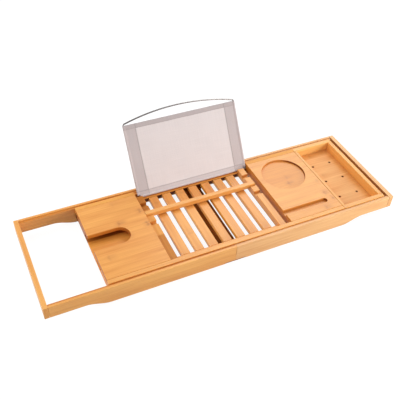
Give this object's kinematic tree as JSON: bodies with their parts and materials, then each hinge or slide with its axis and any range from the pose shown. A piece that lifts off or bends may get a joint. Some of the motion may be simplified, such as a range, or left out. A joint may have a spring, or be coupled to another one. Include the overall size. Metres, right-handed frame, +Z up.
{
  "type": "bathroom tray",
  "caption": "Bamboo bath tray with two sliding arms, a sunken slatted rack, leaning book stand, stop bar, glass slot, cup recess, phone slot and lift-out soap tray.",
  "frame": {"origin": "centre of the underside of the centre brace, the lowest face of the tray", "axes": "+X along the length, from the open left arm to the soap tray; +Y from the front rail to the back rail; +Z up"},
  "size_m": [0.75, 0.3015, 0.1753],
  "materials": {
    "bamboo": "satin clear lacquer",
    "wire": "polished",
    "cloth": "matt weave"
  },
  "bodies": {
    "tray": {"centre_brace": "bamboo", "brace_block_front": "bamboo", "brace_block_back": "bamboo", "soap_rest_strip": "bamboo", "side_rail_front": "bamboo", "side_rail_back": "bamboo", "runner_front": "bamboo", "runner_back": "bamboo", "glass_panel": "bamboo", "glass_block_front": "bamboo", "glass_block_back": "bamboo", "glass_shelf": "bamboo", "rack_cross_rail": "bamboo", "cup_cross_rail": "bamboo", "notched_rail_left": "bamboo", "notched_rail_right": "bamboo", "rack_rail_front": "bamboo", "rack_rail_back": "bamboo", "rack_slat_1": "bamboo", "rack_slat_2": "bamboo", "rack_slat_3": "bamboo", "rack_slat_4": "bamboo", "rack_slat_5": "bamboo", "rack_slat_6": "bamboo", "rack_slat_7": "bamboo", "cup_panel": "bamboo"},
    "left_arm": {"arm_rail_front_left": "bamboo", "arm_rail_back_left": "bamboo", "arm_end_rail_left": "bamboo"},
    "right_arm": {"arm_rail_front_right": "bamboo", "arm_rail_back_right": "bamboo", "arm_end_rail_right": "bamboo"},
    "soap_tray": {"soap_wall_front": "bamboo", "soap_wall_back": "bamboo", "soap_wall_left": "bamboo", "soap_wall_right": "bamboo", "soap_floor": "bamboo"},
    "bar": {"stop_bar": "bamboo"},
    "stand": {"stand_wire": "wire", "stand_foot_rod": "wire", "stand_cloth": "cloth"}
  },
  "joints": [
    {"name": "left_arm_slide", "type": "slide", "parent": "tray", "child": "left_arm", "axis": [-1, 0, 0], "range_m": [0, 0.17]},
    {"name": "right_arm_slide", "type": "slide", "parent": "tray", "child": "right_arm", "axis": [1, 0, 0], "range_m": [0, 0.17]},
    {"name": "soap_tray_lift", "type": "slide", "parent": "tray", "child": "soap_tray", "axis": [0, 0, 1], "range_m": [0, 0.03]},
    {"name": "bar_lift", "type": "slide", "parent": "tray", "child": "bar", "axis": [0, 0, 1], "range_m": [0, 0.012]},
    {"name": "stand_tilt", "type": "hinge", "parent": "tray", "child": "stand", "pos_m": [0.0043, 0.09568, 0.0309], "axis": [1, 0, 0], "range_deg": [0, 30]}
  ]
}
